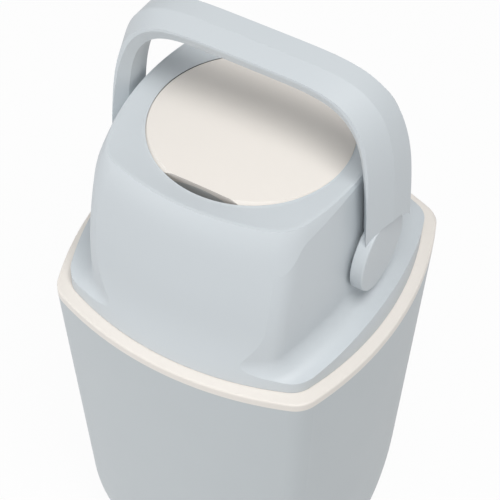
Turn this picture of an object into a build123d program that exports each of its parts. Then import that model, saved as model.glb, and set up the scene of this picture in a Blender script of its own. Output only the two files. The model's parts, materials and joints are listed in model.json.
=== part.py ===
"""Nappy bin with a flip drum.

A tapered bucket carries a bag ring, and the ring carries a hinged lid. A drum turns
inside the lid on a left-to-right axis, driven by the big handle. A weighted piston
slides in the drum's bore and pushes each nappy into the bag.

The origin is on the floor under the centre of the bucket. +Z is up, the front faces
-Y, and the drum's axis runs along X. All sizes are in millimetres.
"""

import os
from math import asin, cos, degrees, radians, sin, sqrt

from build123d import *

# --- Bucket -----------------------------------------------------------------------
foot_height = 3.0
foot_radius = 11.0
foot_spacing = 150.0
rim_height = 330.0
rim_half = 138.1
rim_corner = 24.2
rim_bulge = 18.1
bucket_wall = 3.0
floor_thickness = 3.5
wall_taper = 0.040
corner_growth = 0.004
knee_height = 76.0
knee_radius = 376.0
foot_edge_radius = 6.0

# --- Bag ring ---------------------------------------------------------------------
band_height = 7.5
ledge_thickness = 3.0
skirt_depth = 25.0
skirt_wall = 2.0
skirt_gap = 0.4
mouth_half = 122.0
mouth_corner = 22.0
mouth_bulge = 15.0
mouth_lip_depth = 8.5

# --- Lid shell --------------------------------------------------------------------
lid_gap = 0.5
lid_wall = 2.5
lid_height = 145.5
lid_edge_half = 128.3
opening_radius = 80.0
opening_rise = 141.7
top_wall = 3.0
dish_depth = 3.8
dish_land = 2.5
dish_corner = 52.4
dish_bulge = 7.6
rim_land = 1.5
side_bow_radius = 280.0
side_corner_radius = 18.0
side_corner_end = 63.0
shelf_rise = 20.0
shelf_arch_radius = 545.0
shelf_fillet = 18.0
pad_pocket_gap = 1.2
post_radius = 5.0
post_x = 87.5
post_y = 80.0
post_height = 75.0

# --- Drum -------------------------------------------------------------------------
axis_rise = 68.5
disc_sink = 0.7
disc_crown = 3.2
sweep_clearance = 0.65
drum_wall = 2.5
drum_half_width = 82.0
bore_radius = 64.0
liner_wall = 2.0
liner_lip = 1.5
mouth_reach = 73.0
mouth_wall = 4.0
mouth_ring_radius = 72.0
side_port_radius = 38.0
hub_flange_radius = 48.0
hub_flange = 3.0
hub_screw_circle = 43.0
hub_pillar = 8.0
boss_wall_radius = 4.0
pillar_radius = 7.0
pillar_x = 73.0
pillar_y = 46.0
pillar_height = 45.0

# --- Trunnions and bushes ---------------------------------------------------------
shaft_radius = 14.0
running_clearance = 0.06
drive_square = 18.0
drive_clearance = 0.2
drive_depth = 6.0
bush_wall = 3.0
bush_flange_radius = 22.0
bush_flange = 2.4
end_float = 0.4

# --- Piston -----------------------------------------------------------------------
piston_thickness = 26.0
piston_clearance = 0.8
piston_skin = 2.5
wiper_width = 3.0
wiper_depth = 4.0
wiper_clearance = 0.1
weight_radius = 44.0
weight_thickness = 8.0

# --- Handle -----------------------------------------------------------------------
pad_radius = 34.0
pad_outer_half = 117.0
pad_inner_half = 105.9
pad_edge_radius = 1.5
grip_front = 16.0
arm_front = 26.5
grip_back = 20.0
arm_back = 26.5
palm_half = 12.0

# --- Lid base and seals -----------------------------------------------------------
base_thickness = 3.0
base_clearance = 0.8
seal_width = 6.0
seal_clearance = 0.35
gasket_width = 4.0
gasket_thickness = 2.2

# --- Hinge ------------------------------------------------------------------------
hinge_y = 133.2
hinge_rise = 4.6
knuckle_radius = 4.1
knuckle_length = 34.0
ear_length = 12.0
ear_gap = 0.5
pin_radius = 1.8
ear_bore_clearance = 0.05
knuckle_bore_clearance = 0.10

# --- Screws -----------------------------------------------------------------------
screw_radius = 1.6
screw_head_radius = 3.2
screw_head = 2.0
pilot_clearance = 0.05

# --- Sizes worked out from the ones above -------------------------------------------
ring_top = rim_height + band_height
lid_z = ring_top + lid_gap
opening_z = lid_z + opening_rise
top_inside_z = opening_z - top_wall
axis_z = lid_z + axis_rise
disc_reach = opening_rise - disc_sink - axis_rise
dish_floor = opening_radius + rim_land
rim_reach = sqrt(opening_radius**2 + (opening_z - axis_z) ** 2)
drum_radius = rim_reach - sweep_clearance
base_bottom = axis_z - (opening_z - axis_z)
base_top = base_bottom + base_thickness
liner_radius = bore_radius + liner_wall
hub_face = drum_half_width + hub_flange
bush_inner_end = hub_face + end_float
bush_outer_end = pad_inner_half - end_float
boss_end = bush_outer_end - bush_flange
bush_radius = shaft_radius + bush_wall
boss_radius = bush_flange_radius
pad_thickness = pad_outer_half - pad_inner_half
piston_radius = bore_radius - piston_clearance
piston_stop = mouth_reach - liner_lip - end_float
piston_rest = piston_stop - piston_thickness / 2
axis_plane = Plane.XY.offset(axis_z)
hinge_z = ring_top + hinge_rise


# === Outlines ========================================================================
def bowed_square(half_x, half_y, corner, bulge_x, bulge_y):
    """Draw a square with round corners and bowed sides, sized at mid-side."""
    core_x = half_x - corner - bulge_x
    core_y = half_y - corner - bulge_y
    radius_x = (core_y**2 + bulge_x**2) / (2 * bulge_x)
    radius_y = (core_x**2 + bulge_y**2) / (2 * bulge_y)
    turn_x = degrees(asin(core_y / radius_x))
    turn_y = degrees(asin(core_x / radius_y))
    corner_turn = 90 - turn_x - turn_y
    offset_x = core_x + bulge_x - radius_x
    offset_y = core_y + bulge_y - radius_y
    with BuildLine() as outline:
        for side, start in ((1, 0), (-1, 180)):
            CenterArc((side * offset_x, 0), radius_x + corner, start - turn_x, 2 * turn_x)
            CenterArc((side * core_x, side * core_y), corner, start + turn_x, corner_turn)
            CenterArc((0, side * offset_y), radius_y + corner, start + 90 - turn_y, 2 * turn_y)
            CenterArc((-side * core_x, side * core_y), corner, start + 90 + turn_y, corner_turn)
    make_face(outline.edges())


def bucket_half(height):
    """Half width of the bucket at mid-side: a straight taper, then an inward curve."""
    below_knee = max(0.0, knee_height - height)
    curve = knee_radius - sqrt(knee_radius**2 - below_knee**2)
    return rim_half - wall_taper * (rim_height - height) - curve


def bucket_outline(height, inset):
    """Draw the bucket's section at a height, moved inwards by the inset."""
    half = bucket_half(height) - inset
    corner = rim_corner + corner_growth * (rim_height - height) - inset
    bowed_square(half, half, corner, rim_bulge, rim_bulge)


def rim_outline(inset):
    """Draw the bucket's rim, moved inwards by the inset."""
    bowed_square(rim_half - inset, rim_half - inset, rim_corner - inset, rim_bulge, rim_bulge)


def mouth_outline(grow):
    """Draw the bag ring's mouth, moved outwards by the given amount."""
    half = mouth_half + grow
    bowed_square(half, half, mouth_corner + grow, mouth_bulge, mouth_bulge)


# === Bucket ==========================================================================
inside_floor = foot_height + floor_thickness

with BuildPart() as bucket:
    for height in (foot_height, knee_height / 2, knee_height):
        with BuildSketch(Plane.XY.offset(height)):
            bucket_outline(height, 0.0)
    loft()
    fillet(bucket.edges().group_by(Axis.Z)[0], foot_edge_radius)
    for height in (knee_height, rim_height):
        with BuildSketch(Plane.XY.offset(height)):
            bucket_outline(height, 0.0)
    loft(ruled=True)
    for height in (inside_floor, knee_height / 2, knee_height):
        with BuildSketch(Plane.XY.offset(height)):
            bucket_outline(height, bucket_wall)
    loft(mode=Mode.SUBTRACT)
    for height in (knee_height, rim_height):
        with BuildSketch(Plane.XY.offset(height)):
            bucket_outline(height, bucket_wall)
    loft(ruled=True, mode=Mode.SUBTRACT)
bucket.part.label = "bucket"

with BuildPart() as rubber_feet:
    with GridLocations(foot_spacing, foot_spacing, 2, 2):
        Cylinder(foot_radius, foot_height, align=(Align.CENTER, Align.CENTER, Align.MIN))
rubber_feet.part.label = "rubber_feet"

# === Bag ring ========================================================================
skirt_bottom = rim_height - skirt_depth
skirt_inset = bucket_wall + skirt_gap
skirt_inner_inset = skirt_inset + skirt_wall
ear_start = knuckle_length / 2 + ear_gap


def knuckle(start, length, bore_clearance, web_front, web_back, web_low):
    """Add a hinge knuckle that starts at x = start, with the web that carries it."""
    with BuildSketch(Plane.YZ.offset(start)) as profile:
        with Locations((hinge_y, hinge_z)):
            Circle(knuckle_radius)
        with Locations(((web_front + web_back) / 2, (web_low + hinge_z) / 2)):
            Rectangle(web_back - web_front, hinge_z - web_low)
        with Locations((hinge_y, hinge_z)):
            Circle(pin_radius + bore_clearance, mode=Mode.SUBTRACT)
    extrude(profile.sketch, amount=length)


with BuildPart() as bag_ring:
    with BuildSketch(Plane.XY.offset(rim_height)):
        rim_outline(0.0)
    extrude(amount=band_height)
    outer_edge = bag_ring.edges().group_by(Axis.Z)[-1]
    fillet(outer_edge, 1.6)
    with BuildSketch(Plane.XY.offset(rim_height)):
        rim_outline(skirt_inner_inset)
    extrude(amount=band_height - ledge_thickness, mode=Mode.SUBTRACT)
    for height in (skirt_bottom, rim_height + 1.0):
        with BuildSketch(Plane.XY.offset(height)):
            bucket_outline(min(height, rim_height), skirt_inset)
    loft()
    for height in (skirt_bottom, rim_height + band_height - ledge_thickness):
        with BuildSketch(Plane.XY.offset(height)):
            bucket_outline(min(height, rim_height), skirt_inner_inset)
    loft(mode=Mode.SUBTRACT)
    with BuildSketch(Plane.XY.offset(ring_top - ledge_thickness - mouth_lip_depth)):
        mouth_outline(skirt_wall)
    extrude(amount=mouth_lip_depth + ledge_thickness)
    with BuildSketch(Plane.XY.offset(skirt_bottom)):
        mouth_outline(0.0)
    extrude(amount=ring_top - skirt_bottom + 1.0, mode=Mode.SUBTRACT)
    for start in (-ear_start - ear_length, ear_start):
        knuckle(
            start, ear_length, ear_bore_clearance,
            hinge_y - knuckle_radius + 0.5, hinge_y + 1.5, ring_top - 1.0,
        )
bag_ring.part.label = "bag_ring"

with BuildPart() as hinge_pin:
    with BuildSketch(Plane.YZ.offset(-ear_start - ear_length)):
        with Locations((hinge_y, hinge_z)):
            Circle(pin_radius)
    extrude(amount=2 * (ear_start + ear_length))
hinge_pin.part.label = "hinge_pin"

# === Lid shell =======================================================================
# Height above the lid's edge, half width across and front to back, corner radius,
# side bow and front bow.
lid_sections = (
    (0.0, 128.3, 128.3, 22.0, 17.5, 17.5),
    (8.0, 127.7, 126.2, 23.5, 15.5, 16.5),
    (20.0, 126.3, 122.9, 26.0, 12.5, 15.0),
    (40.0, 121.0, 119.0, 28.0, 11.0, 13.2),
    (70.0, 115.8, 115.8, 30.5, 11.6, 11.6),
    (100.0, 109.5, 111.2, 32.0, 10.5, 10.5),
    (125.0, 102.5, 106.4, 32.0, 9.8, 9.8),
    (138.0, 99.2, 102.0, 31.5, 9.6, 9.6),
    (lid_height, 96.3, 98.2, 31.0, 9.5, 9.5),
)

recess_end = lid_edge_half + 22.0
recess_far = 2 * lid_edge_half

# Height above the lid's edge, mid-side distance of the tall side wall from the middle,
# and distance of its corner's start from the middle.
side_walls = (
    (-10.0, 104.7, 100.0),
    (35.0, 104.7, 96.5),
    (70.0, 104.4, 93.0),
    (110.0, 101.3, 85.0),
    (150.0, 96.9, 77.0),
)


def lid_section(section, inset):
    """Draw one section of the lid's wall, moved inwards by the inset."""
    _, half_x, half_y, corner, bulge_x, bulge_y = section
    bowed_square(half_x - inset, half_y - inset, corner - inset, bulge_x, bulge_y)


def outside_of_side(wall_x, corner_y, inset):
    """Draw the plan of all that lies outside one tall side wall and its two corners."""
    radius = side_bow_radius - inset
    corner = side_corner_radius - inset
    centre = wall_x - side_bow_radius
    turn = degrees(asin(corner_y / side_bow_radius))
    core = side_bow_radius - side_corner_radius
    core_x = centre + core * cos(radians(turn))
    core_y = core * sin(radians(turn))
    end_x = core_x + corner * cos(radians(side_corner_end))
    end_y = core_y + corner * sin(radians(side_corner_end))
    run = 60.0
    far_x = end_x - run * sin(radians(side_corner_end))
    far_y = end_y + run * cos(radians(side_corner_end))
    with BuildLine() as outline:
        CenterArc((centre, 0), radius, -turn, 2 * turn)
        CenterArc((core_x, core_y), corner, turn, side_corner_end - turn)
        CenterArc((core_x, -core_y), corner, -side_corner_end, side_corner_end - turn)
        Line((end_x, end_y), (far_x, far_y))
        Line((end_x, -end_y), (far_x, -far_y))
        Polyline(
            (far_x, far_y), (far_x, recess_end), (recess_far, recess_end),
            (recess_far, -recess_end), (far_x, -recess_end), (far_x, -far_y),
        )
    make_face(outline.edges())


def side_recess(side, inset):
    """Make the space over one side's shelf, with the cove where wall and shelf meet."""
    shelf_z = lid_z + shelf_rise - inset
    arch_radius = shelf_arch_radius - inset
    end_z = shelf_z - arch_radius + sqrt(arch_radius**2 - recess_end**2)
    with BuildPart(mode=Mode.PRIVATE) as block:
        for rise, wall_x, corner_y in side_walls:
            with BuildSketch(Plane.XY.offset(lid_z + rise)):
                outside_of_side(wall_x, corner_y, inset)
        loft()
        with BuildSketch(Plane.YZ):
            with BuildLine():
                ThreePointArc((-recess_end, end_z), (0, shelf_z), (recess_end, end_z))
                Polyline(
                    (recess_end, end_z), (recess_end, 2 * shelf_z),
                    (-recess_end, 2 * shelf_z), (-recess_end, end_z),
                )
            make_face()
        extrude(amount=recess_far, mode=Mode.INTERSECT)
        shelf = block.faces().sort_by(Axis.Z)[0]
        near = shelf.edges().filter_by(
            lambda edge: edge.center().X < lid_edge_half and abs(edge.center().Y) < lid_edge_half
        )
        fillet(near, shelf_fillet + inset)
    return block.part if side > 0 else block.part.mirror(Plane.YZ)


def lid_block(inset, lowered):
    """Loft the lid's closed form, moved inwards and down, and cut back both sides."""
    with BuildPart(mode=Mode.PRIVATE) as block:
        for section in lid_sections:
            with BuildSketch(Plane.XY.offset(lid_z + section[0] - lowered)):
                lid_section(section, inset)
        loft()
        for side in (1, -1):
            add(side_recess(side, inset), mode=Mode.SUBTRACT)
    return block.part


drum_axis = Axis((0, 0, axis_z), (1, 0, 0))


def ball(radius, half_width):
    """Revolve a ball about the drum's axis, cut flat at both ends."""
    side_reach = sqrt(radius**2 - half_width**2)
    with BuildPart(mode=Mode.PRIVATE) as block:
        with BuildSketch(axis_plane):
            with BuildLine():
                Line((-half_width, 0), (-half_width, side_reach))
                ThreePointArc((-half_width, side_reach), (0, radius), (half_width, side_reach))
                Polyline((half_width, side_reach), (half_width, 0), (-half_width, 0))
            make_face()
        revolve(axis=drum_axis)
    return block.part


with BuildPart() as lid_shell:
    add(lid_block(0.0, 0.0))
    add(lid_block(lid_wall, lid_height - opening_rise + top_wall), mode=Mode.SUBTRACT)
    with BuildSketch(Plane.XY.offset(opening_z)):
        bowed_square(dish_floor, dish_floor, dish_corner, dish_bulge, dish_bulge)
    with BuildSketch(Plane.XY.offset(opening_z + dish_depth)):
        lid_section(lid_sections[-1], dish_land)
    loft(ruled=True, mode=Mode.SUBTRACT)
    add(ball(rim_reach, hub_face), mode=Mode.SUBTRACT)
    for side in (1, -1):
        with BuildSketch(Plane.YZ.offset(side * bush_inner_end)):
            with Locations((0, axis_z)):
                Circle(boss_radius)
        extrude(amount=side * (boss_end - bush_inner_end))
        with BuildSketch(Plane.YZ.offset(side * (bush_inner_end - 1.0))):
            with Locations((0, axis_z)):
                Circle(bush_radius)
        extrude(amount=side * (boss_end - bush_inner_end + 2.0), mode=Mode.SUBTRACT)
        with BuildSketch(Plane.YZ.offset(side * boss_end)):
            with Locations((0, axis_z)):
                Circle(bush_flange_radius + end_float)
        extrude(amount=side * shelf_fillet, mode=Mode.SUBTRACT)
        with BuildSketch(Plane.YZ.offset(side * (pad_inner_half - end_float))):
            with Locations((0, axis_z)):
                Circle(pad_radius + pad_pocket_gap)
        extrude(amount=side * 2 * shelf_fillet, mode=Mode.SUBTRACT)
    with BuildSketch(Plane.XY.offset(base_top)):
        with GridLocations(2 * post_x, 2 * post_y, 2, 2):
            Circle(post_radius)
            Circle(screw_radius, mode=Mode.SUBTRACT)
    extrude(amount=post_height)
    with BuildSketch(Plane.YZ.offset(-knuckle_length / 2)):
        with Locations((hinge_y, hinge_z)):
            Circle(knuckle_radius)
        with Locations(((hinge_y + lid_edge_half - lid_wall + 1.0) / 2, (lid_z + hinge_z) / 2)):
            Rectangle(hinge_y - lid_edge_half + lid_wall - 1.0, hinge_z - lid_z)
        with Locations((hinge_y, hinge_z)):
            Circle(pin_radius + knuckle_bore_clearance, mode=Mode.SUBTRACT)
    extrude(amount=knuckle_length)
lid_shell.part.label = "lid_shell"

# === Lid base, seals and gasket =======================================================
gasket_top = lid_z + gasket_thickness
flange_inset = lid_wall + 4.0


def base_outline(grow):
    """Draw the lid base's outline, moved outwards by the given amount."""
    lid_section(lid_sections[0], flange_inset + gasket_width + base_clearance - grow)


with BuildPart() as lid_base:
    with BuildSketch(Plane.XY.offset(base_bottom)):
        base_outline(0.0)
    extrude(amount=gasket_top - base_bottom + base_thickness)
    with BuildSketch(Plane.XY.offset(gasket_top)):
        lid_section(lid_sections[0], flange_inset)
    extrude(amount=base_thickness)
    with BuildSketch(Plane.XY.offset(base_top)):
        base_outline(-base_thickness)
    extrude(amount=lid_height, mode=Mode.SUBTRACT)
    with BuildSketch(Plane.XY.offset(base_bottom)):
        with GridLocations(2 * post_x, 2 * post_y, 2, 2):
            Circle(screw_radius + pilot_clearance)
    extrude(amount=2 * base_thickness, mode=Mode.SUBTRACT)
    add(ball(rim_reach, hub_face), mode=Mode.SUBTRACT)
lid_base.part.label = "lid_base"

with BuildPart() as lid_gasket:
    with BuildSketch(Plane.XY.offset(lid_z - 0.1)):
        lid_section(lid_sections[0], flange_inset)
    extrude(amount=gasket_thickness + 0.1)
    with BuildSketch(Plane.XY.offset(lid_z - 1.0)):
        lid_section(lid_sections[0], flange_inset + gasket_width)
    extrude(amount=2 * gasket_thickness, mode=Mode.SUBTRACT)
lid_gasket.part.label = "lid_gasket"


def screw(plane, length):
    """Add a pan-head screw: the head stands on the plane, the shank runs against it."""
    with BuildSketch(plane) as head:
        Circle(screw_head_radius)
    extrude(head.sketch, amount=screw_head)
    with BuildSketch(plane) as shank:
        Circle(screw_radius)
    extrude(shank.sketch, amount=-length)


with BuildPart() as base_screws:
    for x in (-post_x, post_x):
        for y in (-post_y, post_y):
            screw(Plane((x, y, base_bottom), z_dir=(0, 0, -1)), 16.0)
base_screws.part.label = "base_screws"

seal_thickness = 2.3
seal_reach = top_inside_z - axis_z - seal_thickness
seal_inner = sqrt((drum_radius + seal_clearance) ** 2 - seal_reach**2)


def drum_seal(height):
    """Add the flat ring that wipes the drum."""
    with BuildSketch(Plane.XY.offset(height)) as ring:
        Circle(seal_inner + seal_width)
        Circle(seal_inner, mode=Mode.SUBTRACT)
    extrude(ring.sketch, amount=seal_thickness)


with BuildPart() as upper_seal:
    drum_seal(axis_z + seal_reach)
upper_seal.part.label = "upper_seal"

with BuildPart() as lower_seal:
    drum_seal(axis_z - seal_reach - seal_thickness)
lower_seal.part.label = "lower_seal"

# === Drum ============================================================================
crown_radius = (opening_radius**2 + disc_crown**2) / (2 * disc_crown)


def drum_block(inset, mouth_inset):
    """Make the drum's closed form: a ball with flat mouths and gently crowned discs."""
    with BuildPart(mode=Mode.PRIVATE) as block:
        add(ball(drum_radius - inset, drum_half_width - inset))
        with BuildSketch(Plane.XZ.offset(-mouth_reach + mouth_inset)):
            with BuildLine():
                for side in (1, -1):
                    edge = axis_z + side * (disc_reach - inset)
                    ThreePointArc(
                        (-opening_radius, edge), (0, edge + side * disc_crown),
                        (opening_radius, edge),
                    )
                    Line((-opening_radius, edge), (-2 * opening_radius, edge))
                    Line((opening_radius, edge), (2 * opening_radius, edge))
                for x in (-2 * opening_radius, 2 * opening_radius):
                    Line((x, axis_z - disc_reach + inset), (x, axis_z + disc_reach - inset))
            make_face()
        extrude(amount=2 * (mouth_reach - mouth_inset), mode=Mode.INTERSECT)
    return block.part


def drum_shell(side):
    """Add one half of the drum, above the axis for side 1 and below it for side -1."""
    add(drum_block(0.0, 0.0))
    add(drum_block(drum_wall, mouth_wall), mode=Mode.SUBTRACT)
    for port_side in (1, -1):
        for y in (-1, 1):
            for z in (-1, 1):
                spot = hub_screw_circle / sqrt(2)
                with BuildSketch(Plane.YZ.offset(port_side * (drum_half_width - 1.0))) as pad:
                    with Locations((y * spot, axis_z + z * spot)):
                        Circle(boss_wall_radius)
                extrude(pad.sketch, amount=-port_side * (hub_pillar + drum_wall))
                with BuildSketch(Plane.YZ.offset(port_side * (drum_half_width + 1.0))) as hole:
                    with Locations((y * spot, axis_z + z * spot)):
                        Circle(screw_radius)
                extrude(hole.sketch, amount=-port_side * 16.0, mode=Mode.SUBTRACT)
    with BuildSketch(Plane.XY.offset(axis_z - pillar_height)) as pillars:
        with GridLocations(2 * pillar_x, 2 * pillar_y, 2, 2):
            Circle(pillar_radius)
    extrude(pillars.sketch, amount=2 * pillar_height)
    with BuildSketch(Plane.XY.offset(axis_z - drum_screw_head_reach)) as holes:
        with GridLocations(2 * pillar_x, 2 * pillar_y, 2, 2):
            Circle(screw_radius)
    extrude(holes.sketch, amount=2 * drum_screw_head_reach, mode=Mode.SUBTRACT)
    for port_side in (1, -1):
        with BuildSketch(Plane.YZ.offset(port_side * (drum_half_width + 1.0))) as port:
            with Locations((0, axis_z)):
                Circle(side_port_radius)
        extrude(port.sketch, amount=-port_side * (drum_wall + 2.0), mode=Mode.SUBTRACT)
    with BuildSketch(Plane.XZ.offset(-drum_radius)) as bore:
        with Locations((0, axis_z)):
            Circle(liner_radius)
    extrude(bore.sketch, amount=2 * drum_radius, mode=Mode.SUBTRACT)
    for mouth in (1, -1):
        with BuildSketch(Plane.XZ.offset(mouth * (mouth_reach - liner_lip))) as rebate:
            with Locations((0, axis_z)):
                Circle(mouth_ring_radius)
        extrude(rebate.sketch, amount=mouth * drum_wall, mode=Mode.SUBTRACT)
    with Locations((0, 0, axis_z - side * drum_radius)):
        Box(4 * drum_radius, 4 * drum_radius, 2 * drum_radius, mode=Mode.SUBTRACT)


drum_screw_head_reach = 12.0

with BuildPart() as drum_shell_upper:
    drum_shell(1)
drum_shell_upper.part.label = "drum_shell_upper"

with BuildPart() as drum_shell_lower:
    drum_shell(-1)
drum_shell_lower.part.label = "drum_shell_lower"

with BuildPart() as bore_liner:
    with BuildSketch(Plane.XZ.offset(-mouth_reach + liner_lip)):
        with Locations((0, axis_z)):
            Circle(liner_radius)
            Circle(bore_radius, mode=Mode.SUBTRACT)
    extrude(amount=2 * (mouth_reach - liner_lip))
bore_liner.part.label = "bore_liner"


def mouth_ring(side):
    """Add the flat ring that closes one mouth's rim and stops the piston."""
    with BuildSketch(Plane.XZ.offset(side * (mouth_reach - liner_lip))) as ring:
        with Locations((0, axis_z)):
            Circle(mouth_ring_radius)
            Circle(bore_radius - 2.0, mode=Mode.SUBTRACT)
    extrude(ring.sketch, amount=side * liner_lip)


with BuildPart() as mouth_ring_front:
    mouth_ring(1)
mouth_ring_front.part.label = "mouth_ring_front"

with BuildPart() as mouth_ring_back:
    mouth_ring(-1)
mouth_ring_back.part.label = "mouth_ring_back"

with BuildPart() as drum_studs:
    for x in (-pillar_x, pillar_x):
        for y in (-pillar_y, pillar_y):
            with BuildSketch(Plane.XY.offset(axis_z - drum_screw_head_reach)):
                with Locations((x, y)):
                    Circle(screw_radius)
            extrude(amount=2 * drum_screw_head_reach)
drum_studs.part.label = "drum_studs"

# === Trunnion hubs and bushes =========================================================
handle_screw_start = drum_half_width - drum_wall
handle_screw_length = pad_outer_half - 3.0 - handle_screw_start


def hub(side):
    """Add one hub: a plate on the drum's flat side, a round shaft and a square end."""
    outer = Plane.YZ.offset(side * drum_half_width)
    with BuildSketch(Plane.YZ.offset(side * (drum_half_width - drum_wall))) as spigot:
        with Locations((0, axis_z)):
            Circle(side_port_radius)
    extrude(spigot.sketch, amount=side * drum_wall)
    with BuildSketch(outer) as plate:
        with Locations((0, axis_z)):
            Circle(hub_flange_radius)
            with PolarLocations(hub_screw_circle, 4, start_angle=45):
                Circle(screw_radius + pilot_clearance, mode=Mode.SUBTRACT)
    extrude(plate.sketch, amount=side * hub_flange)
    with BuildSketch(outer) as shaft:
        with Locations((0, axis_z)):
            Circle(shaft_radius)
    extrude(shaft.sketch, amount=side * (pad_inner_half - drum_half_width))
    with BuildSketch(Plane.YZ.offset(side * pad_inner_half)) as drive:
        with Locations((0, axis_z)):
            Rectangle(drive_square, drive_square)
    extrude(drive.sketch, amount=side * drive_depth)
    with BuildSketch(Plane.YZ.offset(side * (handle_screw_start - 1.0))) as hole:
        with Locations((0, axis_z)):
            Circle(screw_radius + pilot_clearance)
    extrude(hole.sketch, amount=side * 2 * shaft_radius * 2, mode=Mode.SUBTRACT)


def bush(side):
    """Add one bush: a sleeve in the lid's boss with a flange on the outside."""
    with BuildSketch(Plane.YZ.offset(side * bush_inner_end)) as sleeve:
        with Locations((0, axis_z)):
            Circle(bush_radius)
    extrude(sleeve.sketch, amount=side * (boss_end - bush_inner_end))
    with BuildSketch(Plane.YZ.offset(side * boss_end)) as flange:
        with Locations((0, axis_z)):
            Circle(bush_flange_radius)
    extrude(flange.sketch, amount=side * bush_flange)
    with BuildSketch(Plane.YZ.offset(side * (bush_inner_end - 1.0))) as hole:
        with Locations((0, axis_z)):
            Circle(shaft_radius + running_clearance)
    extrude(hole.sketch, amount=side * 2 * bush_flange_radius, mode=Mode.SUBTRACT)


with BuildPart() as hub_left:
    hub(-1)
hub_left.part.label = "hub_left"

with BuildPart() as hub_right:
    hub(1)
hub_right.part.label = "hub_right"

with BuildPart() as bush_left:
    bush(-1)
bush_left.part.label = "bush_left"

with BuildPart() as bush_right:
    bush(1)
bush_right.part.label = "bush_right"

with BuildPart() as hub_screws:
    for side in (-1, 1):
        for y in (-1, 1):
            for z in (-1, 1):
                spot = hub_screw_circle / sqrt(2)
                origin = (side * hub_face, y * spot, axis_z + z * spot)
                screw(Plane(origin, x_dir=(0, 1, 0), z_dir=(side, 0, 0)), 10.0)
hub_screws.part.label = "hub_screws"

with BuildPart() as handle_screws:
    for side in (-1, 1):
        origin = (side * handle_screw_start, 0, axis_z)
        screw(Plane(origin, x_dir=(0, 1, 0), z_dir=(-side, 0, 0)), handle_screw_length)
handle_screws.part.label = "handle_screws"

# === Piston ==========================================================================
wiper_offset = piston_thickness / 4 + 1.0
cup_cavity_radius = piston_radius - wiper_depth - piston_skin
cup_screw_circle = (cup_cavity_radius + weight_radius) / 2


def piston_plane(offset):
    """Give the plane across the bore, at an offset to the front of the piston's middle."""
    return Plane.XZ.offset(piston_rest + offset)


def disc(offset, radius, length, mode=Mode.ADD):
    """Add or cut a round slab across the bore."""
    with BuildSketch(piston_plane(offset)) as slab:
        with Locations((0, axis_z)):
            Circle(radius)
    extrude(slab.sketch, amount=length, mode=mode)


def piston_cup(side):
    """Add one half of the piston, towards the front for side 1."""
    half = piston_thickness / 2
    disc(0, piston_radius, side * half)
    disc(0, cup_cavity_radius, side * (half - piston_skin), Mode.SUBTRACT)
    disc(side * weight_thickness / 2, weight_radius / 2, side * (half - weight_thickness / 2))
    with BuildSketch(piston_plane(0)) as bosses:
        with Locations((0, axis_z)):
            with PolarLocations(cup_screw_circle, 4):
                Circle(boss_wall_radius + 0.5)
                Circle(screw_radius, mode=Mode.SUBTRACT)
    extrude(bosses.sketch, amount=side * (half - piston_skin))
    groove = side * (wiper_offset - wiper_width / 2)
    with BuildSketch(piston_plane(groove)) as ring:
        with Locations((0, axis_z)):
            Circle(piston_radius + 1.0)
            Circle(piston_radius - wiper_depth, mode=Mode.SUBTRACT)
    extrude(ring.sketch, amount=side * wiper_width, mode=Mode.SUBTRACT)


with BuildPart() as piston_cup_front:
    piston_cup(1)
piston_cup_front.part.label = "piston_cup_front"

with BuildPart() as piston_cup_back:
    piston_cup(-1)
piston_cup_back.part.label = "piston_cup_back"

with BuildPart() as piston_weight:
    disc(-weight_thickness / 2, weight_radius, weight_thickness)
piston_weight.part.label = "piston_weight"

with BuildPart() as piston_wipers:
    for side in (1, -1):
        groove = side * (wiper_offset - wiper_width / 2)
        with BuildSketch(piston_plane(groove)):
            with Locations((0, axis_z)):
                Circle(bore_radius - wiper_clearance)
                Circle(piston_radius - wiper_depth, mode=Mode.SUBTRACT)
        extrude(amount=side * wiper_width)
piston_wipers.part.label = "piston_wipers"

with BuildPart() as piston_pins:
    with BuildSketch(piston_plane(-piston_thickness / 2 + piston_skin)):
        with Locations((0, axis_z)):
            with PolarLocations(cup_screw_circle, 4):
                Circle(screw_radius)
    extrude(amount=piston_thickness - 2 * piston_skin)
piston_pins.part.label = "piston_pins"

# === Handle ==========================================================================
# Each arch follows |x / half|^power + |rise / height|^power = 1 above the spring line.
spring_z = lid_z + 50.0
arm_lean = 0.04
arch_turns = (0.4, 3.0, 12.0, 28.0, 45.0, 62.0, 78.0, 87.0)


def arch_profile(half, top_rise, power, foot_drop):
    """Draw a closed arch across the bin, standing on a flat foot below the spring line."""
    height = lid_z + top_rise - spring_z
    right = []
    for turn in arch_turns:
        rise = height * sin(radians(turn)) ** (2 / power)
        run = (half - arm_lean * rise) * cos(radians(turn)) ** (2 / power)
        right.append((run, spring_z + rise))
    left = [(-x, z) for x, z in reversed(right)]
    top = (0, spring_z + height)
    base = spring_z - foot_drop
    with BuildLine() as outline:
        Spline((half, spring_z), *right, top, *left, (-half, spring_z),
               tangents=((0, 1), (0, -1)))
        Polyline((-half, spring_z), (-half, base), (half, base), (half, spring_z))
    make_face(outline.edges())


def arch_loft(near, far, foot_drop, mode):
    """Stretch a ruled skin between two arches, each given with its distance forwards."""
    with BuildPart(mode=Mode.PRIVATE) as block:
        for forward, half, top_rise, power in (near, far):
            with BuildSketch(Plane.XZ.offset(forward)):
                arch_profile(half, top_rise, power, foot_drop)
        loft(ruled=True)
    add(block.part, mode=mode)


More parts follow.
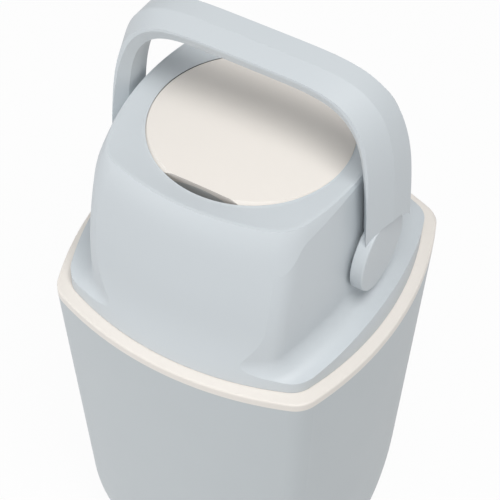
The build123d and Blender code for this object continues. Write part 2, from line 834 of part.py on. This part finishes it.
# Distance forwards of the axis, half width, height of the crown and power.
front_arch = (26.5, 113.4, 223.5, 4.9)
ridge_arch = (-3.0, 124.0, 226.5, 5.2)
back_arch = (-27.0, 126.0, 226.5, 4.7)
inner_front_arch = (27.5, 117.0, 247.0, 4.9)
inner_front_start = (palm_half, 106.6, 212.9, 5.2)
inner_back_start = (-palm_half, 106.6, 212.9, 5.2)
inner_back_arch = (-28.0, 118.0, 222.0, 5.2)

with BuildPart() as handle:
    arch_loft(front_arch, ridge_arch, 30.0, Mode.ADD)
    arch_loft(ridge_arch, back_arch, 30.0, Mode.ADD)
    arch_loft(inner_front_start, inner_back_start, 40.0, Mode.SUBTRACT)
    arch_loft(inner_front_arch, inner_front_start, 40.0, Mode.SUBTRACT)
    arch_loft(inner_back_start, inner_back_arch, 40.0, Mode.SUBTRACT)
    with BuildSketch(Plane.YZ.offset(-2 * lid_edge_half)) as side_view:
        with BuildLine():
            Spline(
                (-arm_front, axis_z), (-arm_front + 5.0, lid_z + 150.0),
                (-grip_front + 0.3, lid_z + 232.0),
            )
            Line((-grip_front + 0.3, lid_z + 232.0), (grip_back, lid_z + 232.0))
            Spline(
                (grip_back, lid_z + 232.0), (arm_back - 1.0, lid_z + 177.0), (arm_back, axis_z),
            )
            Line((arm_back, axis_z), (-arm_front, axis_z))
        make_face()
    extrude(amount=4 * lid_edge_half, mode=Mode.INTERSECT)
    for side in (1, -1):
        with BuildSketch(axis_plane):
            with Locations((side * (pad_inner_half + pad_thickness / 2), 0)):
                RectangleRounded(pad_thickness, 2 * pad_radius, pad_edge_radius)
            with Locations((0, -2 * pad_radius)):
                Rectangle(4 * pad_outer_half, 4 * pad_radius, mode=Mode.SUBTRACT)
        revolve(axis=drum_axis)
        with BuildSketch(Plane.YZ.offset(side * pad_outer_half)):
            with Locations((0, axis_z)):
                Circle(pad_radius)
        extrude(amount=side * pad_thickness, mode=Mode.SUBTRACT)
        with BuildSketch(Plane.YZ.offset(side * pad_inner_half)):
            with Locations((0, axis_z)):
                Circle(pad_radius)
        extrude(amount=-side * pad_thickness, mode=Mode.SUBTRACT)
        with BuildSketch(Plane.YZ.offset(side * (pad_inner_half - 1.0))):
            with Locations((0, axis_z)):
                Rectangle(drive_square + drive_clearance, drive_square + drive_clearance)
        extrude(amount=side * (drive_depth + 1.0 + drive_clearance), mode=Mode.SUBTRACT)
        with BuildSketch(Plane.YZ.offset(side * pad_inner_half)):
            with Locations((0, axis_z)):
                Circle(screw_radius)
        extrude(amount=side * (pad_thickness - 3.0), mode=Mode.SUBTRACT)
handle.part.label = "handle"

# === Save ============================================================================
pieces = (
    bucket, rubber_feet, bag_ring, hinge_pin,
    lid_shell, lid_base, lid_gasket, base_screws, upper_seal, lower_seal,
    drum_shell_upper, drum_shell_lower, bore_liner, mouth_ring_front, mouth_ring_back,
    drum_studs, hub_left, hub_right, bush_left, bush_right, hub_screws, handle_screws,
    piston_cup_front, piston_cup_back, piston_weight, piston_wipers, piston_pins, handle,
)
os.makedirs("parts", exist_ok=True)
for piece in pieces:
    export_step(piece.part, "parts/" + piece.part.label + ".step")
    print(piece.part.label, round(piece.part.volume), len(piece.part.solids()))
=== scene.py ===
import json
import math

import bpy
from mathutils import Matrix, Vector

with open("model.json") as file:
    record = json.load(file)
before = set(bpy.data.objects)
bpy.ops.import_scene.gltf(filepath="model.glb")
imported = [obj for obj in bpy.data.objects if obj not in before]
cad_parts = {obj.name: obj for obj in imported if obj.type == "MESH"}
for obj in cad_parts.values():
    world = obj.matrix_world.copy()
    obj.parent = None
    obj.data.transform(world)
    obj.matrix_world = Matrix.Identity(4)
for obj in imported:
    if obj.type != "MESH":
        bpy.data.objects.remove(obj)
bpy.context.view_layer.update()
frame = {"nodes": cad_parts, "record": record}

nodes = frame["nodes"]

# --- Levels and sizes: metres, degrees, pixels and watts ---------------------------
plastic_ior = 1.46
grain_strength = 0.35
cloud_scale = 9.0
cloud_detail = 3.0
gloss_scale = 26.0
gloss_detail = 4.0
fine_detail = 2.0

default_crease = 28.0
crease_angle = {"handle": 16.0}

floor_half = 6.0
floor_dark = (0.80, 0.80, 0.80, 1)
floor_light = (0.83, 0.83, 0.83, 1)
floor_speckle_scale = 40.0
floor_white_share = 0.95

sky_colour = (0.97, 0.985, 1.0, 1)
sky_strength = 0.41
white = (1, 1, 1, 1)

lamp_aim = (0, 0, 0.38)
warm = (1.0, 0.995, 0.985)
cool = (0.98, 0.99, 1.0)

camera_azimuth = 29.78
camera_elevation = 49.24
camera_roll = 0.73
camera_distance = 1.359
camera_target = (0, 0, 0.338)
focal_pixels = 1661.6
image_pixels = 500.0
sensor_width = 36.0


# --- Colours: sRGB as read from the object, turned into linear light ----------------
def linear(r, g, b):
    def one(c):
        c /= 255.0
        return c / 12.92 if c <= 0.04045 else ((c + 0.055) / 1.055) ** 2.4
    return (one(r), one(g), one(b), 1.0)


# --- Shader helpers ----------------------------------------------------------------
def empty_tree(block):
    """Give the block's node tree with nothing in it."""
    block.use_nodes = True
    block.node_tree.nodes.clear()
    return block.node_tree


def noise(tree, coords, scale, detail):
    """Add a noise texture that follows the object's own coordinates."""
    node = tree.nodes.new("ShaderNodeTexNoise")
    node.inputs["Scale"].default_value = scale
    node.inputs["Detail"].default_value = detail
    tree.links.new(coords.outputs["Object"], node.inputs["Vector"])
    return node


def either_ray(tree, first, second):
    """Add a value that is 1 for rays of either of the two kinds."""
    path = tree.nodes.new("ShaderNodeLightPath")
    seen = tree.nodes.new("ShaderNodeMath")
    seen.operation = "MAXIMUM"
    tree.links.new(path.outputs[first], seen.inputs[0])
    tree.links.new(path.outputs[second], seen.inputs[1])
    return seen


def mix_shaders(tree, share, first, second, out):
    """Blend two shaders by the share and feed the result to the output node."""
    blend = tree.nodes.new("ShaderNodeMixShader")
    tree.links.new(share.outputs[0], blend.inputs[0])
    tree.links.new(first.outputs[0], blend.inputs[1])
    tree.links.new(second.outputs[0], blend.inputs[2])
    tree.links.new(blend.outputs[0], out.inputs[0])


def plastic(name, colour, rough=0.46, grain=0.00035, depth=0.00002, spread=0.012, drift=0.10):
    """Moulded plastic: a fine spark-eroded grain, slow drift in colour and in gloss."""
    mat = bpy.data.materials.new(name)
    tree = empty_tree(mat)
    out = tree.nodes.new("ShaderNodeOutputMaterial")
    bsdf = tree.nodes.new("ShaderNodeBsdfPrincipled")
    tree.links.new(bsdf.outputs[0], out.inputs[0])
    coords = tree.nodes.new("ShaderNodeTexCoord")

    clouds = noise(tree, coords, cloud_scale, cloud_detail)
    ramp = tree.nodes.new("ShaderNodeMix")
    ramp.data_type = "RGBA"
    ramp.inputs["A"].default_value = tuple(c * (1.0 - spread) for c in colour[:3]) + (1.0,)
    ramp.inputs["B"].default_value = tuple(min(1.0, c * (1.0 + spread)) for c in colour[:3]) + (1.0,)
    tree.links.new(clouds.outputs["Fac"], ramp.inputs["Factor"])
    tree.links.new(ramp.outputs["Result"], bsdf.inputs["Base Color"])

    patches = noise(tree, coords, gloss_scale, gloss_detail)
    gloss = tree.nodes.new("ShaderNodeMapRange")
    gloss.inputs["To Min"].default_value = rough - drift / 2
    gloss.inputs["To Max"].default_value = rough + drift / 2
    tree.links.new(patches.outputs["Fac"], gloss.inputs["Value"])
    tree.links.new(gloss.outputs["Result"], bsdf.inputs["Roughness"])

    fine = noise(tree, coords, 1.0 / grain, fine_detail)
    bump = tree.nodes.new("ShaderNodeBump")
    bump.inputs["Strength"].default_value = grain_strength
    bump.inputs["Distance"].default_value = depth
    tree.links.new(fine.outputs["Fac"], bump.inputs["Height"])
    tree.links.new(bump.outputs["Normal"], bsdf.inputs["Normal"])
    bsdf.inputs["IOR"].default_value = plastic_ior
    return mat


def steel(name, colour):
    """Zinc-plated steel with a coarser grain."""
    mat = plastic(name, colour, rough=0.32, grain=0.0008, depth=0.00002, drift=0.16)
    mat.node_tree.nodes["Principled BSDF"].inputs["Metallic"].default_value = 1.0
    return mat


# --- Materials on the nodes ----------------------------------------------------------
lid_blue = linear(207, 213, 217)
cream = linear(239, 233, 226)
mats = {
    "bucket_plastic": plastic("bucket_plastic", linear(199, 205, 208)),
    "lid_plastic": plastic("lid_plastic", lid_blue),
    "handle_plastic": plastic("handle_plastic", lid_blue),
    "ring_plastic": plastic("ring_plastic", cream, rough=0.42),
    "inner_plastic": plastic("inner_plastic", linear(205, 207, 206), rough=0.5),
    "bush_plastic": plastic("bush_plastic", linear(236, 236, 232), rough=0.35),
    "seal_rubber": plastic("seal_rubber", linear(96, 98, 100), rough=0.72, grain=0.0006),
    "foot_rubber": plastic("foot_rubber", linear(84, 86, 88), rough=0.75, grain=0.0006),
    "steel": steel("steel", linear(188, 190, 192)),
}
slot_of = {s["node"]: s["material_slot"] for s in frame["record"]["subparts"]}
for name, obj in nodes.items():
    obj.data.materials.clear()
    obj.data.materials.append(mats[slot_of[name]])
    for poly in obj.data.polygons:
        poly.use_smooth = True
    smooth = obj.modifiers.new("edges", "EDGE_SPLIT")
    smooth.split_angle = math.radians(crease_angle.get(name, default_crease))

# --- Floor: pale paper that takes the shadow ------------------------------------------
floor_mesh = bpy.data.meshes.new("floor")
floor_mesh.from_pydata(
    [(x * floor_half, y * floor_half, 0) for x, y in ((-1, -1), (1, -1), (1, 1), (-1, 1))],
    [],
    [(0, 1, 2, 3)],
)
floor = bpy.data.objects.new("floor", floor_mesh)
bpy.context.scene.collection.objects.link(floor)
mat = bpy.data.materials.new("floor_paper")
tree = empty_tree(mat)
out = tree.nodes.new("ShaderNodeOutputMaterial")
diffuse = tree.nodes.new("ShaderNodeBsdfDiffuse")
speckle = tree.nodes.new("ShaderNodeTexNoise")
speckle.inputs["Scale"].default_value = floor_speckle_scale
tone = tree.nodes.new("ShaderNodeMix")
tone.data_type = "RGBA"
tone.inputs["A"].default_value = floor_dark
tone.inputs["B"].default_value = floor_light
tree.links.new(speckle.outputs["Fac"], tone.inputs["Factor"])
tree.links.new(tone.outputs["Result"], diffuse.inputs["Color"])
glow = tree.nodes.new("ShaderNodeEmission")
glow.inputs["Strength"].default_value = 1.0
share = tree.nodes.new("ShaderNodeMath")
share.operation = "MULTIPLY"
share.inputs[1].default_value = floor_white_share
tree.links.new(either_ray(tree, "Is Camera Ray", "Is Glossy Ray").outputs[0], share.inputs[0])
mix_shaders(tree, share, diffuse, glow, out)
floor_mesh.materials.append(mat)

# --- World: white to the camera, a soft grey fill to everything else ---------------
world = bpy.data.worlds.new("studio")
bpy.context.scene.world = world
tree = empty_tree(world)
out = tree.nodes.new("ShaderNodeOutputWorld")
fill = tree.nodes.new("ShaderNodeBackground")
fill.inputs["Color"].default_value = sky_colour
fill.inputs["Strength"].default_value = sky_strength
plain = tree.nodes.new("ShaderNodeBackground")
plain.inputs["Color"].default_value = white
plain.inputs["Strength"].default_value = 1.0
seen = either_ray(tree, "Is Camera Ray", "Is Transmission Ray")
mix_shaders(tree, seen, fill, plain, out)


# --- Lamps -----------------------------------------------------------------------
def lamp(name, place, width, height, power, colour):
    """Add a soft rectangular lamp that points at the bin."""
    data = bpy.data.lights.new(name, "AREA")
    data.shape = "RECTANGLE"
    data.size = width
    data.size_y = height
    data.energy = power
    data.color = colour
    obj = bpy.data.objects.new(name, data)
    bpy.context.scene.collection.objects.link(obj)
    obj.location = place
    obj.rotation_euler = (Vector(lamp_aim) - Vector(place)).to_track_quat("-Z", "Y").to_euler()


lamp("key_light", (0.70, -0.60, 2.38), 0.9, 0.9, 29.0, warm)
lamp("front_light", (-1.10, -2.00, 0.90), 1.4, 1.0, 11.0, (1, 1, 1))
lamp("left_light", (-2.0, -0.6, 0.9), 1.4, 1.4, 4.0, cool)

# --- Camera ----------------------------------------------------------------------
azimuth = math.radians(camera_azimuth)
elevation = math.radians(camera_elevation)
roll = math.radians(camera_roll)
back = Vector((
    math.sin(azimuth) * math.cos(elevation),
    -math.cos(azimuth) * math.cos(elevation),
    math.sin(elevation),
))
right = Vector((math.cos(azimuth), math.sin(azimuth), 0))
up = back.cross(right)
right, up = (
    right * math.cos(roll) + up * math.sin(roll),
    up * math.cos(roll) - right * math.sin(roll),
)
cam_data = bpy.data.cameras.new("camera")
cam_data.sensor_width = sensor_width
cam_data.lens = sensor_width * focal_pixels / image_pixels
cam_data.clip_start = 0.05
cam_data.clip_end = 50.0
cam = bpy.data.objects.new("camera", cam_data)
bpy.context.scene.collection.objects.link(cam)
turn = Matrix((right, up, back)).transposed().to_4x4()
cam.matrix_world = Matrix.Translation(Vector(camera_target) + back * camera_distance) @ turn
bpy.context.scene.camera = cam

bpy.context.scene.view_settings.view_transform = "Standard"
